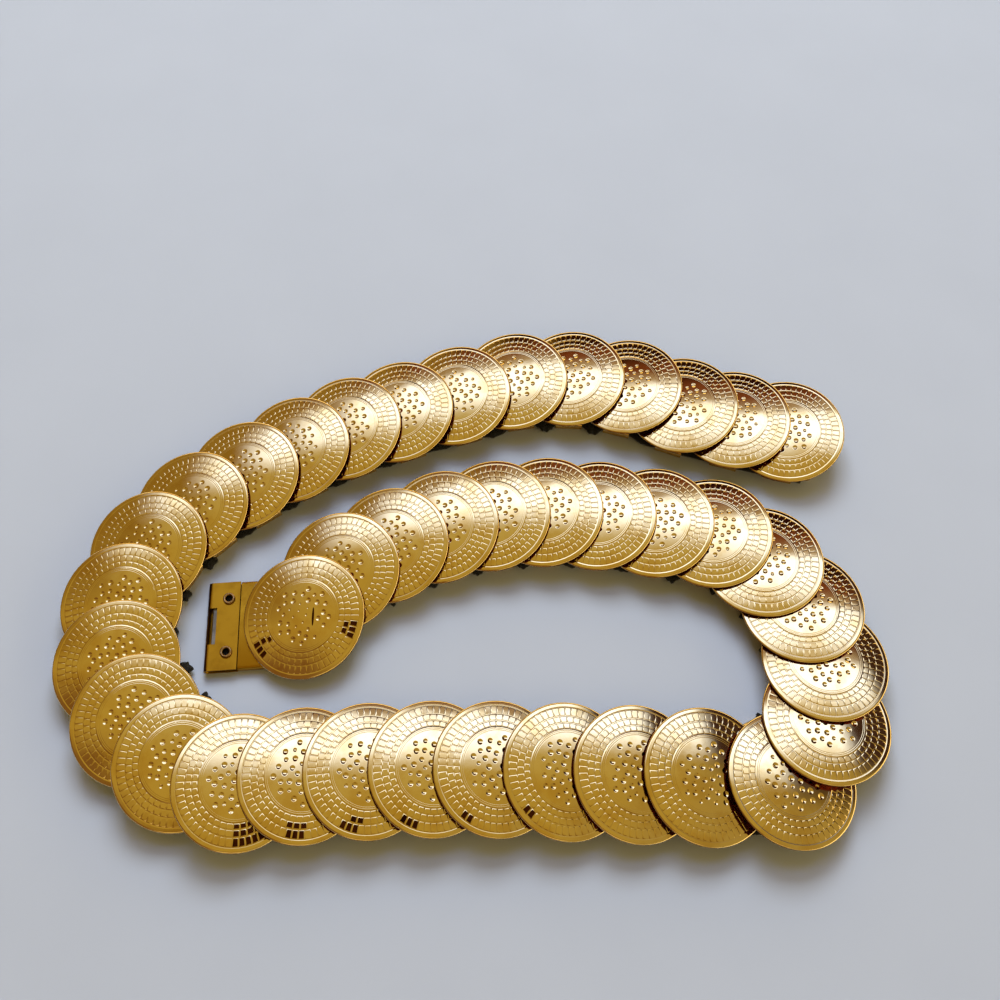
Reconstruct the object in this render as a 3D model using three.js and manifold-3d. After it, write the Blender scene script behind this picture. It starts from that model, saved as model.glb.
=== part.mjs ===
// Coin belt: thirty-nine stamped metal discs that overlap like scales on a wide black elastic,
// with a folded clasp plate at one end and a small hook at the other, lying flat in a spiral.
// Millimetres, +Z up. The belt rests on the flat undersides of the sleeves at z = 0.

import * as THREE from 'three';
import { mergeVertices } from 'three/addons/utils/BufferGeometryUtils.js';
import Module from 'manifold-3d';

const wasm = await Module();
wasm.setup();

// ---------------------------------------------------------------- driving dimensions

const CLEARANCE = 0.3; // free gap between neighbouring pieces
const OVERCUT = 1; // how far a cutting block runs past the faces that it cuts
const SAME_POINT = 0.02; // corners of the elastic closer than this are one corner

const DISC_RADIUS = 19;
const DISC_WALL = 0.7;
const DOME_RISE = 1.5; // height of the middle of a disc over its rim
const DISC_SIDES = 32;
const DOME_RINGS = [0, 0.55, 1]; // radii of the dome's rings, as shares of the disc's radius
const SHINGLE_TILT = THREE.MathUtils.degToRad(9.2); // each disc leans up onto the next one

const SHEET = 0.6; // sheet metal of the sleeves, the clasp plate and the hook
const ELASTIC_THICKNESS = 1.2;
const ELASTIC_HALF_WIDTH = 15;
const PUCKER_SHARE = 0.8; // bulge of the gathered inner edge of a bend, as a share of its gap
const PUCKER_LIMIT = 2.4;
const EDGE_STEPS = 5; // points along an edge of the elastic between two sleeves

const SLEEVE_LENGTH = 9;
const BRIDGE_LENGTH = 1.7; // rib that carries the disc on the rear end of its sleeve
const BRIDGE_WIDTH = 14;

const SLEEVE_HALF_WIDTH = ELASTIC_HALF_WIDTH + CLEARANCE + SHEET;
const ELASTIC_BOTTOM = SHEET + CLEARANCE;
const ELASTIC_TOP = ELASTIC_BOTTOM + ELASTIC_THICKNESS;
const SLEEVE_HEIGHT = ELASTIC_TOP + CLEARANCE + SHEET;
const REAR_RIM_GAP = 0.39; // from a disc's rear rim to the top of the sleeve under it
const REAR_RIM_DROP = DISC_RADIUS * Math.sin(SHINGLE_TILT) + DISC_WALL / 2;
const RIM_PLANE_HEIGHT = SLEEVE_HEIGHT + REAR_RIM_GAP + REAR_RIM_DROP;

// The way the belt lies, one row for each stretch. Every disc of a stretch is one pitch from
// the last one, in a direction that has turned by the given angle. A slide moves the stretch's
// sleeves towards the inside of the bend, where the tight elastic draws them.
const START = { x: -55.4, y: -13.8, heading: 79.9, slide: 0, lead: -8 };
const STRETCHES = [
  { name: 'clasp turn', discs: 2, turn: -25, pitch: 17.7, slide: 0, lead: 0 },
  { name: 'inner run', discs: 4, turn: -8.5, pitch: 17.2, slide: 0.5, lead: 0 },
  { name: 'inner crest', discs: 2, turn: -3.5, pitch: 18.6, slide: 0.5, lead: 0 },
  { name: 'right bend', discs: 4, turn: -21.5, pitch: 17.7, slide: 0, lead: 0 },
  { name: 'tight turn', discs: 1, turn: -30, pitch: 20.4, slide: 3.6, lead: 2.8 },
  { name: 'sharp corner', discs: 1, turn: -55, pitch: 24.1, slide: 0, lead: 0 },
  { name: 'front row', discs: 3, turn: 0, pitch: 20.1, slide: 0, lead: 0 },
  { name: 'front row end', discs: 4, turn: 2, pitch: 18.6, slide: 0, lead: 0 },
  { name: 'left bend', discs: 6, turn: -22.5, pitch: 18.6, slide: 1.2, lead: 0 },
  { name: 'left shoulder', discs: 1, turn: -14.5, pitch: 19.2, slide: 1, lead: 0 },
  { name: 'back rise', discs: 3, turn: -5.5, pitch: 18.7, slide: 0.5, lead: 0 },
  { name: 'back run', discs: 2, turn: -2, pitch: 20.6, slide: 0.5, lead: 0 },
  { name: 'back crest', discs: 3, turn: -12.5, pitch: 20, slide: 1, lead: 0 },
  { name: 'tail', discs: 2, turn: 3.5, pitch: 18, slide: 0.5, lead: 0 },
];

// The clasp plate: a strip folded over a spring bar and the end of the elastic.
const CLASP = {
  heading: THREE.MathUtils.degToRad(4),
  reach: 31, // from the fold to the middle of the first disc
  length: 10.2,
  halfWidth: 13.85,
  slotStart: 0.6,
  slotEnd: 3.2,
  slotHalfWidth: 5.7,
  rivetAlong: 6.8,
  rivetAcross: 8.4,
};
// The first disc's sleeve is a long one that butts against the clasp plate.
const CLASP_SLEEVE_FRONT = START.lead + SLEEVE_LENGTH / 2;
const CLASP_SLEEVE_LENGTH = CLASP.reach - CLASP.length - CLEARANCE + CLASP_SLEEVE_FRONT;
const CLASP_ELASTIC_HALF_WIDTH = CLASP.halfWidth - SHEET - CLEARANCE;
const ELASTIC_START = 4.3; // where the elastic ends inside the folded plate

const BAR = { start: 1.6, end: 3.4, halfWidth: 7 };

const RIVET = { flange: 1.8, shank: 1.3, bore: 1.0, hole: 1.6, foot: 0.3, head: 0.55, sides: 16 };

// The hook hidden under the last disc: a folded plate with a tongue that turns back on itself.
const HOOK = { start: 4.9, fold: 10.6, halfWidth: 13, tip: 16, tongueHalfWidth: 5.2 };
const ELASTIC_END = 7.6;

const FOLD_STEPS = 8;

// ---------------------------------------------------------------- materials

function metal(color, roughness) {
  return new THREE.MeshStandardMaterial({ color, roughness, metalness: 1 });
}

const goldFinish = metal('#c39a3e', 0.25);
const barFinish = metal('#a5a39b', 0.35);
const rivetFinish = metal('#8f7a45', 0.3);
const elasticFinish = new THREE.MeshStandardMaterial({
  color: '#16130f',
  roughness: 0.9,
  metalness: 0,
});

// ---------------------------------------------------------------- solids

// A closed solid from a geometry whose shared corners are merged.
function toSolid(geometry) {
  const bare = geometry.clone();
  bare.deleteAttribute('normal');
  bare.deleteAttribute('uv');
  const merged = mergeVertices(bare, 1e-4);
  const corners = merged.index.array;
  const triVerts = [];
  for (let i = 0; i < corners.length; i += 3) {
    const [a, b, c] = [corners[i], corners[i + 1], corners[i + 2]];
    if (a !== b && b !== c && c !== a) triVerts.push(a, b, c);
  }
  return new wasm.Manifold(new wasm.Mesh({
    numProp: 3,
    vertProperties: new Float32Array(merged.attributes.position.array),
    triVerts: new Uint32Array(triVerts),
  }));
}

function toGeometry(solid) {
  const mesh = solid.getMesh();
  const geometry = new THREE.BufferGeometry();
  geometry.setAttribute('position', new THREE.BufferAttribute(mesh.vertProperties, 3));
  geometry.setIndex(new THREE.BufferAttribute(mesh.triVerts, 1));
  const faceted = geometry.toNonIndexed();
  faceted.computeVertexNormals();
  return faceted;
}

// A block between two corners.
function block(low, high) {
  const size = new THREE.Vector3(...high).sub(new THREE.Vector3(...low));
  const geometry = new THREE.BoxGeometry(size.x, size.y, size.z);
  const middle = size.multiplyScalar(0.5).add(new THREE.Vector3(...low));
  return toSolid(geometry.translate(middle.x, middle.y, middle.z));
}

// A disc or ring turned about +Z from a profile of [radius, height] pairs.
function turned(profile, sides) {
  const points = profile.map(([radius, height]) => new THREE.Vector2(radius, height));
  return new THREE.LatheGeometry(points, sides).rotateX(Math.PI / 2);
}

// A profile drawn in X and Z, as wide across Y as twice the half width.
function acrossBelt(shape, halfWidth) {
  const geometry = new THREE.ExtrudeGeometry(shape, {
    depth: 2 * halfWidth,
    bevelEnabled: false,
    curveSegments: FOLD_STEPS,
  });
  return toSolid(geometry.rotateX(Math.PI / 2).translate(0, halfWidth, 0));
}

// ---------------------------------------------------------------- layout

// Centre, heading and sleeve slide of every disc, worked out from the stretches.
function layDiscs() {
  const spots = [new THREE.Vector2(START.x, START.y)];
  const seats = [{ slide: START.slide, lead: START.lead }];
  const links = [];
  let heading = THREE.MathUtils.degToRad(START.heading);
  for (const { discs, turn, pitch, slide, lead } of STRETCHES) {
    for (let i = 0; i < discs; i += 1) {
      heading += THREE.MathUtils.degToRad(turn);
      links.push(heading);
      const step = new THREE.Vector2(pitch, 0).rotateAround(new THREE.Vector2(), heading);
      spots.push(spots.at(-1).clone().add(step));
      seats.push({ slide, lead });
    }
  }
  const before = [links[0], ...links];
  const after = [...links, links.at(-1)];
  return spots.map((spot, i) => ({
    spot,
    heading: (before[i] + after[i]) / 2,
    turn: after[i] - before[i],
    ...seats[i],
  }));
}

// A point of the belt's plane: so far along a heading from a spot, and so far to its left.
function offset(spot, heading, along, left) {
  return new THREE.Vector2(along, left).rotateAround(new THREE.Vector2(), heading).add(spot);
}

const discs = layDiscs();
const claspSpot = offset(discs[0].spot, CLASP.heading, -CLASP.reach, 0);

// ---------------------------------------------------------------- discs and sleeves

// Height of the dome over the rim plane at a distance from the disc's middle.
function domeAt(radius) {
  return DOME_RISE * (1 - (radius / DISC_RADIUS) ** 2);
}

// The domed wall of a disc, standing on its own rim plane.
function discWall() {
  const radii = DOME_RINGS.map((share) => share * DISC_RADIUS);
  const top = radii.map((radius) => [radius, domeAt(radius) + DISC_WALL / 2]);
  const bottom = radii.map((radius) => [radius, domeAt(radius) - DISC_WALL / 2]);
  return turned([...bottom, ...top.reverse()], DISC_SIDES);
}

// A flat tube of sheet metal that the elastic runs through.
function sleeve(start, length, halfWidth, left) {
  const outer = block([start, left - halfWidth, 0], [start + length, left + halfWidth, SLEEVE_HEIGHT]);
  const inner = halfWidth - SHEET;
  const bore = block(
    [start - OVERCUT, left - inner, SHEET],
    [start + length + OVERCUT, left + inner, SLEEVE_HEIGHT - SHEET],
  );
  return outer.subtract(bore);
}

// One disc with its sleeve and the rib between them, heading along +X from the disc's centre.
function discWithSleeve({ slide, lead }, length, halfWidth, swing) {
  const wall = discWall().rotateY(-SHINGLE_TILT).translate(0, 0, RIM_PLANE_HEIGHT);
  const ribStart = lead - SLEEVE_LENGTH / 2;
  const rear = lead + SLEEVE_LENGTH / 2 - length;
  const ribMiddle = ribStart + BRIDGE_LENGTH / 2;
  const ribLift = ribMiddle * Math.sin(SHINGLE_TILT);
  const ribTop = RIM_PLANE_HEIGHT + ribLift + domeAt(Math.hypot(ribMiddle, BRIDGE_WIDTH / 2));
  const rib = block(
    [ribStart, -BRIDGE_WIDTH / 2, SLEEVE_HEIGHT - SHEET / 2],
    [ribStart + BRIDGE_LENGTH, BRIDGE_WIDTH / 2, ribTop],
  );
  const tube = sleeve(rear, length, halfWidth, -slide).rotate([0, 0, swing]);
  return toGeometry(toSolid(wall).add(rib).add(tube));
}

function discMesh(disc, index) {
  const first = index === 0;
  const swing = first ? THREE.MathUtils.radToDeg(CLASP.heading - disc.heading) : 0;
  const length = first ? CLASP_SLEEVE_LENGTH : SLEEVE_LENGTH;
  const halfWidth = first ? CLASP.halfWidth : SLEEVE_HALF_WIDTH;
  const geometry = discWithSleeve(disc, length, halfWidth, swing);
  const mesh = new THREE.Mesh(geometry, goldFinish);
  mesh.name = `disc_${String(index + 1).padStart(2, '0')}`;
  mesh.position.set(disc.spot.x, disc.spot.y, 0);
  mesh.rotation.z = disc.heading;
  return mesh;
}

// ---------------------------------------------------------------- elastic

// The stations where the elastic enters and leaves each sleeve, with its half width there.
function elasticStations() {
  const stations = [];
  const gate = (spot, heading, along, left, halfWidth) => {
    stations.push({
      left: offset(spot, heading, along, left + halfWidth),
      right: offset(spot, heading, along, left - halfWidth),
      heading,
    });
  };
  gate(claspSpot, CLASP.heading, ELASTIC_START, 0, CLASP_ELASTIC_HALF_WIDTH);
  const reach = SLEEVE_LENGTH / 2 + CLEARANCE;
  discs.forEach((disc, i) => {
    const last = i === discs.length - 1;
    if (i === 0) {
      const half = CLASP_ELASTIC_HALF_WIDTH;
      gate(disc.spot, CLASP.heading, CLASP_SLEEVE_FRONT - CLASP_SLEEVE_LENGTH, 0, half);
      gate(disc.spot, CLASP.heading, CLASP_SLEEVE_FRONT + CLEARANCE, 0, half);
      return;
    }
    const { spot, heading, slide, lead } = disc;
    gate(spot, heading, lead - reach, -slide, ELASTIC_HALF_WIDTH);
    gate(spot, heading, last ? ELASTIC_END : lead + reach, -slide, ELASTIC_HALF_WIDTH);
  });
  return stations;
}

// One edge of the elastic between two stations. In a bend the inner edge is gathered and
// bulges out between the sleeves, and the outer edge runs in an even curve.
function edgeBetween(from, to, side) {
  const start = from[side];
  const end = to[side];
  const gap = start.distanceTo(end);
  const bend = Math.abs(to.heading - from.heading);
  if (bend === 0) return [start, end];
  const points = [];
  const inner = (to.heading < from.heading) === (side === 'right');
  const middleHeading = (from.heading + to.heading) / 2;
  const outward = side === 'left' ? 1 : -1;
  const reach = inner ? Math.min(PUCKER_LIMIT, PUCKER_SHARE * gap) : gap * bend / 8;
  for (let i = 0; i <= EDGE_STEPS; i += 1) {
    const share = i / EDGE_STEPS;
    const bulge = outward * reach * Math.sin(Math.PI * share) ** 2;
    points.push(offset(start.clone().lerp(end, share), middleHeading, 0, bulge));
  }
  return points;
}

function elasticOutline() {
  const stations = elasticStations();
  const edge = (side) => {
    const points = [];
    for (let i = 1; i < stations.length; i += 1) {
      const run = edgeBetween(stations[i - 1], stations[i], side);
      points.push(...run.filter((point) => !points.length || points.at(-1).distanceTo(point) > SAME_POINT));
    }
    return points;
  };
  return new THREE.Shape([...edge('right'), ...edge('left').reverse()]);
}

function rivetSpots() {
  const { heading, rivetAlong, rivetAcross } = CLASP;
  return [1, -1].map((side) => offset(claspSpot, heading, rivetAlong, side * rivetAcross));
}

function elasticMesh() {
  const outline = elasticOutline();
  for (const { x, y } of rivetSpots()) {
    outline.holes.push(new THREE.Path().absarc(x, y, RIVET.hole, 0, 2 * Math.PI, true));
  }
  const geometry = new THREE.ExtrudeGeometry(outline, {
    depth: ELASTIC_THICKNESS,
    bevelEnabled: false,
    curveSegments: RIVET.sides,
  });
  const mesh = new THREE.Mesh(geometry.translate(0, 0, ELASTIC_BOTTOM), elasticFinish);
  mesh.name = 'elastic_band';
  return mesh;
}

// ---------------------------------------------------------------- clasp

// A strip folded back on itself: two leaves that end at one line, joined by a round fold.
function foldedStrip(fold, end) {
  const outer = SLEEVE_HEIGHT / 2;
  const inner = outer - SHEET;
  const away = Math.sign(end - fold);
  const centre = fold + away * outer;
  const shape = new THREE.Shape();
  shape.moveTo(end, 0);
  shape.lineTo(end, SHEET);
  shape.lineTo(centre, SHEET);
  shape.absarc(centre, outer, inner, -Math.PI / 2, Math.PI / 2, away > 0);
  shape.lineTo(end, SLEEVE_HEIGHT - SHEET);
  shape.lineTo(end, SLEEVE_HEIGHT);
  shape.lineTo(centre, SLEEVE_HEIGHT);
  shape.absarc(centre, outer, outer, Math.PI / 2, -Math.PI / 2, away < 0);
  shape.closePath();
  return shape;
}

function placeOnClasp(mesh) {
  mesh.position.set(claspSpot.x, claspSpot.y, 0);
  mesh.rotation.z = CLASP.heading;
  return mesh;
}

function claspPlateMesh() {
  let plate = acrossBelt(foldedStrip(0, CLASP.length), CLASP.halfWidth);
  plate = plate.subtract(block(
    [CLASP.slotStart, -CLASP.slotHalfWidth, SLEEVE_HEIGHT / 2],
    [CLASP.slotEnd, CLASP.slotHalfWidth, SLEEVE_HEIGHT + OVERCUT],
  ));
  for (const side of [1, -1]) {
    const hole = new THREE.CylinderGeometry(RIVET.hole, RIVET.hole, 3 * SLEEVE_HEIGHT, RIVET.sides);
    hole.rotateX(Math.PI / 2).translate(CLASP.rivetAlong, side * CLASP.rivetAcross, 0);
    plate = plate.subtract(toSolid(hole));
  }
  const mesh = new THREE.Mesh(toGeometry(plate), goldFinish);
  mesh.name = 'clasp_plate';
  return placeOnClasp(mesh);
}

function springBarMesh() {
  const solid = block(
    [BAR.start, -BAR.halfWidth, ELASTIC_BOTTOM],
    [BAR.end, BAR.halfWidth, ELASTIC_TOP],
  );
  const mesh = new THREE.Mesh(toGeometry(solid), barFinish);
  mesh.name = 'clasp_spring_bar';
  return placeOnClasp(mesh);
}

// A tubular rivet: its head stands on the plate and its shank passes through plate and elastic.
function rivetMeshes() {
  const seat = SLEEVE_HEIGHT + CLEARANCE;
  const profile = [
    [RIVET.bore, RIVET.foot],
    [RIVET.shank, RIVET.foot],
    [RIVET.shank, seat],
    [RIVET.flange, seat],
    [RIVET.flange, seat + RIVET.head / 2],
    [(RIVET.flange + RIVET.bore) / 2, seat + RIVET.head],
    [RIVET.bore, seat + RIVET.head / 2],
    [RIVET.bore, RIVET.foot],
  ];
  return rivetSpots().map(({ x, y }, i) => {
    const mesh = new THREE.Mesh(turned(profile, RIVET.sides), rivetFinish);
    mesh.name = `clasp_rivet_${i + 1}`;
    mesh.position.set(x, y, 0);
    return mesh;
  });
}

// ---------------------------------------------------------------- hook

function hookMesh() {
  const plate = acrossBelt(foldedStrip(HOOK.fold, HOOK.start), HOOK.halfWidth);
  const middle = SLEEVE_HEIGHT / 2;
  const tongue = block(
    [HOOK.fold - SHEET, -HOOK.tongueHalfWidth, middle - SHEET / 2],
    [HOOK.tip, HOOK.tongueHalfWidth, middle + SHEET / 2],
  );
  const lip = block(
    [HOOK.tip - SHEET, -HOOK.tongueHalfWidth, SHEET / 2],
    [HOOK.tip, HOOK.tongueHalfWidth, middle],
  );
  const last = discs.at(-1);
  const mesh = new THREE.Mesh(toGeometry(plate.add(tongue).add(lip)), goldFinish);
  mesh.name = 'hook_plate';
  const spot = offset(last.spot, last.heading, 0, -last.slide);
  mesh.position.set(spot.x, spot.y, 0);
  mesh.rotation.z = last.heading;
  return mesh;
}

// ---------------------------------------------------------------- the belt

const belt = new THREE.Group();
belt.add(...discs.map(discMesh));
belt.add(elasticMesh());
belt.add(claspPlateMesh());
belt.add(springBarMesh());
belt.add(...rivetMeshes());
belt.add(hookMesh());

// The belt's origin is under the middle of its outline, on the surface that it lies on.
belt.updateMatrixWorld(true);
const middle = new THREE.Box3().setFromObject(belt, true).getCenter(new THREE.Vector3());
belt.position.set(-middle.x, -middle.y, 0);

export default belt;
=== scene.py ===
"""Coin belt: gold-plated stamped discs that overlap on a black elastic, laid flat in a spiral.

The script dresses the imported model. Every disc, with its rib and its sleeve, is one piece made
from one pressed pattern, and it is set down where the layout table puts it. The elastic, the
folded clasp, its bar and eyelets and the hook under the last disc are pieces of their own.
Sizes are in millimetres in the classes and in metres in the scene.
"""

from __future__ import annotations

import logging
import math
import random
from dataclasses import dataclass, field
from enum import Enum
from typing import Any

import bmesh
import bpy
from bmesh.types import BMesh
from bpy.types import Material, Mesh, NodeSocket, NodeTree
from mathutils import Matrix, Vector


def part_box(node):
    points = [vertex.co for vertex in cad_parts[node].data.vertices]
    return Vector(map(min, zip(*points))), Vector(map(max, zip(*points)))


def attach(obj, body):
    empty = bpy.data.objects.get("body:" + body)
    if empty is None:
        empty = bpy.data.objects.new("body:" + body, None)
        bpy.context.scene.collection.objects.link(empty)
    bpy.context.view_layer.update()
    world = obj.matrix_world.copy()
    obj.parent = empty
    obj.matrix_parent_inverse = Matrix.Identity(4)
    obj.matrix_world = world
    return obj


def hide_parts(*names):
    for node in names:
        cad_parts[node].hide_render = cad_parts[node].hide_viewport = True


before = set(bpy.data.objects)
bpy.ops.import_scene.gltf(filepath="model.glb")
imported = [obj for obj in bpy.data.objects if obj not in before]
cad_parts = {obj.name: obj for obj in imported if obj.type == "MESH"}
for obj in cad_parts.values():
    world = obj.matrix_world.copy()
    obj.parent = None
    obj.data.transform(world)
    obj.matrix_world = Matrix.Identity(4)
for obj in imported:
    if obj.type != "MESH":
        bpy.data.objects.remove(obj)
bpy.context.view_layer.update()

log = logging.getLogger("coin_belt")

MM = 0.001
SHEET = 0.6  # mm, wall of the sleeves
SLEEVE_HEIGHT = 3.0
SEAM = 0.3  # mm, clearance between neighbouring pieces
WELD = 1e-4  # mm, points closer than this are merged
NEAR = 0.01  # mm, slack when edges and faces are picked by their place
WAVE_STEP = math.tau / 20  # how far apart the bands of a wave texture lie at scale 1
UP = Vector((0, 0, 1))

Profile = tuple[tuple[float, float], ...]


class Part(Enum):
    """The places of a disc piece that take a finish of their own, in slot order."""

    FACE = 0
    UNDERSIDE = 1
    SLEEVE = 2
    # dark finish of listed blocks and of the slit's floor, mostly painted reflection and shade
    WORN_AND_PAINTED_SHADE = 3
    EDGE = 4


# ---- helpers


def linear(hex_colour: str) -> tuple[float, float, float, float]:
    """Turn an sRGB hex colour such as "#C39A3E" into linear red, green, blue and alpha."""
    parts = [int(hex_colour[i : i + 2], 16) / 255 for i in (1, 3, 5)]
    red, green, blue = (c / 12.92 if c <= 0.04045 else ((c + 0.055) / 1.055) ** 2.4 for c in parts)
    return (red, green, blue, 1.0)


def add_node(
    tree: NodeTree,
    kind: str,
    settings: dict[str, Any] | None = None,
    inputs: dict[int | str, Any] | None = None,
) -> bpy.types.Node:
    """Add one shader node with its settings, values and links.

    Args:
        tree: Node tree that takes the node.
        kind: Blender's name of the node's type.
        settings: Properties of the node itself.
        inputs: Values of its sockets; an output socket given as a value is linked.

    Returns:
        The new node.
    """
    node = tree.nodes.new(kind)
    for name, value in (settings or {}).items():
        setattr(node, name, value)
    for key, value in (inputs or {}).items():
        if isinstance(value, NodeSocket):
            tree.links.new(value, node.inputs[key])
        else:
            node.inputs[key].default_value = value
    return node


def new_material(name: str) -> tuple[Material, NodeTree]:
    """Start an empty node material, and give it with its cleared tree."""
    material = bpy.data.materials.new(name)
    material.use_nodes = True
    material.node_tree.nodes.clear()
    return material, material.node_tree


def noise(
    tree: NodeTree, place: Any, size: float, detail: float, roughness: float = 0.5
) -> NodeSocket:
    """Add noise with patches of a size in millimetres, and give its value."""
    inputs = {"Vector": place, "Scale": 1 / (size * MM), "Detail": detail, "Roughness": roughness}
    return add_node(tree, "ShaderNodeTexNoise", inputs=inputs).outputs["Fac"]


def product(tree: NodeTree, first: Any, second: Any) -> NodeSocket:
    """Add the product of two values."""
    inputs = {0: first, 1: second}
    return add_node(tree, "ShaderNodeMath", {"operation": "MULTIPLY"}, inputs).outputs[0]


def blend(tree: NodeTree, share: Any, low: Any, high: Any) -> NodeSocket:
    """Add a mix of two colours, by the share of the second."""
    inputs = {0: share, 6: low, 7: high}
    return add_node(tree, "ShaderNodeMix", {"data_type": "RGBA"}, inputs).outputs[2]


def ease(tree: NodeTree, value: Any, start: float, end: float) -> NodeSocket:
    """Add a soft step of a value, from 0 at its start to 1 at its end."""
    inputs = {"Value": value, "From Min": start, "From Max": end}
    settings = {"interpolation_type": "SMOOTHSTEP"}
    return add_node(tree, "ShaderNodeMapRange", settings, inputs).outputs["Result"]


def relief(tree: NodeTree, height: Any, strength: float, depth: float) -> NodeSocket:
    """Add a bump with a depth in millimetres, and give its normal."""
    inputs = {"Height": height, "Strength": strength, "Distance": depth * MM}
    return add_node(tree, "ShaderNodeBump", inputs=inputs).outputs["Normal"]


def close_tree(tree: NodeTree, inputs: dict[int | str, Any]) -> None:
    """Add the surface shader of a material and its output."""
    shader = add_node(tree, "ShaderNodeBsdfPrincipled", inputs=inputs)
    add_node(tree, "ShaderNodeOutputMaterial", inputs={"Surface": shader.outputs["BSDF"]})


def spin_profile(bm: BMesh, profile: list[Any], count: int) -> list[bmesh.types.BMFace]:
    """Turn a row of points about the Z axis into a closed band.

    Args:
        bm: Mesh that takes the band.
        profile: Radius and height of each point.
        count: Number of faces around.

    Returns:
        The faces of the band.
    """
    before = set(bm.faces)
    verts = [bm.verts.new((radius, 0, height)) for radius, height in profile]
    edges = [bm.edges.new(pair) for pair in zip(verts, verts[1:])]
    turn = {"cent": (0, 0, 0), "axis": UP, "angle": math.tau, "steps": count}
    bmesh.ops.spin(bm, geom=verts + edges, use_merge=True, **turn)
    return [face for face in bm.faces if face not in before]


def round_edges(bm: BMesh, edges: list[Any], width: float, segments: int, clamp: bool) -> None:
    """Round some edges of a shape.

    Args:
        bm: The shape.
        edges: Its edges to round.
        width: Width of the rounding.
        segments: Faces across the rounding.
        clamp: Whether roundings that would meet are made narrower.
    """
    how = {"profile": 0.5, "affect": "EDGES", "material": -1, "clamp_overlap": clamp}
    bmesh.ops.bevel(bm, geom=edges, offset=width, segments=segments, **how)


def store(bm: BMesh, name: str, smooth: bool = True) -> Mesh:
    """Store a finished shape as a mesh.

    Args:
        bm: The shape, which is freed.
        name: Name of the mesh.
        smooth: Whether all its faces are shaded smooth.

    Returns:
        The stored mesh.
    """
    mesh = bpy.data.meshes.new(name)
    bm.to_mesh(mesh)
    bm.free()
    if smooth:
        mesh.polygons.foreach_set("use_smooth", [True] * len(mesh.polygons))
    return mesh


def add_object(name: str, data: Any) -> bpy.types.Object:
    """Make an object of some data and link it to the scene."""
    made = bpy.data.objects.new(name, data)
    bpy.context.scene.collection.objects.link(made)
    return made


def show(mesh: Mesh, materials: list[Material], slot: str, *nodes: str) -> bpy.types.Object:
    """Put a mesh in the scene as a piece that stands for CAD nodes.

    Args:
        mesh: Mesh in metres, in the frame's own place.
        materials: Its materials in slot order.
        slot: Name of a material slot for the piece; not used.
        nodes: CAD nodes that the piece replaces.

    Returns:
        The new object.
    """
    piece = add_object(mesh.name, mesh)
    for material in materials:
        mesh.materials.append(material)
    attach(piece, "root")
    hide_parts(*nodes)
    log.info("%s: %d faces", piece.name, len(mesh.polygons))
    return piece


def box(bm: BMesh, size: tuple[float, float, float], middle: tuple[float, float, float]) -> Any:
    """Make a box of a size about a middle, and give its vertices."""
    made = bmesh.ops.create_cube(bm, size=1.0)["verts"]
    bmesh.ops.scale(bm, vec=size, verts=made)
    bmesh.ops.translate(bm, vec=middle, verts=made)
    return made


# ---- finishes


@dataclass(frozen=True)
class GoldPlate:
    """Gold-tone electroplate on pressed sheet steel, polished before it was stamped.

    It gives the eye a warm mirror that is a little cloudy, browner where the pressing is deep,
    with fine wipe marks and a faint orange peel.
    """

    name: str = "gold_plate_stamped"
    colour: str = "#F6D898"
    # second colour of the cloudy patches; in the dark finish it is painted shade too
    worn_and_painted_shade: str = "#EBC67C"
    recess_colour: str = "#9A6A30"
    roughness: float = 0.05
    rough_spread: float = 0.03
    peel_depth: float = 0.0022  # mm
    blotch: float = 7.0  # mm, size of a cloudy patch
    cloud_range: tuple[float, float] = (0.42, 0.68)  # where a patch starts and is full
    wipe: float = 0.5  # mm, spacing of wipe marks, drawn coarser than real ones
    wipe_turn: float = 0.5  # radians
    wipe_shrink: float = 0.12  # width of a wipe mark over its length
    mark_range: tuple[float, float] = (0.12, 0.45)  # from the smoothest to the roughest
    peel: float = 1.1  # mm, size of an orange-peel cell
    # share of the recess colour in the deep places of the pressing
    recess_darkening: float = 0.08

    def material(self) -> Material:
        """Build the material."""
        material, tree = new_material(self.name)
        place = add_node(tree, "ShaderNodeTexCoord").outputs["Object"]
        turn, scale = (0, 0, self.wipe_turn), (self.wipe_shrink, 1, 1)
        inputs = {"Vector": place, "Rotation": turn, "Scale": scale}
        wiped = add_node(tree, "ShaderNodeMapping", inputs=inputs).outputs["Vector"]
        blotch = noise(tree, place, self.blotch, 4.0, 0.6)
        wipe = noise(tree, wiped, self.wipe, 3.0)
        peel = noise(tree, place, self.peel, 1.0)
        recess = add_node(tree, "ShaderNodeAttribute", {"attribute_name": "recess"}).outputs["Fac"]
        cloud = ease(tree, blotch, *self.cloud_range)
        plate = blend(tree, cloud, linear(self.colour), linear(self.worn_and_painted_shade))
        deep = product(tree, recess, self.recess_darkening)
        inputs = {
            "Value": product(tree, blotch, wipe),
            "From Min": self.mark_range[0],
            "From Max": self.mark_range[1],
            "To Min": self.roughness,
            "To Max": self.roughness + self.rough_spread,
        }
        rough = add_node(tree, "ShaderNodeMapRange", inputs=inputs).outputs["Result"]
        surface = {
            "Base Color": blend(tree, deep, plate, linear(self.recess_colour)),
            "Metallic": 1.0,
            "Roughness": rough,
            "Normal": relief(tree, peel, 1.0, self.peel_depth),
        }
        close_tree(tree, surface)
        return material


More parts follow.
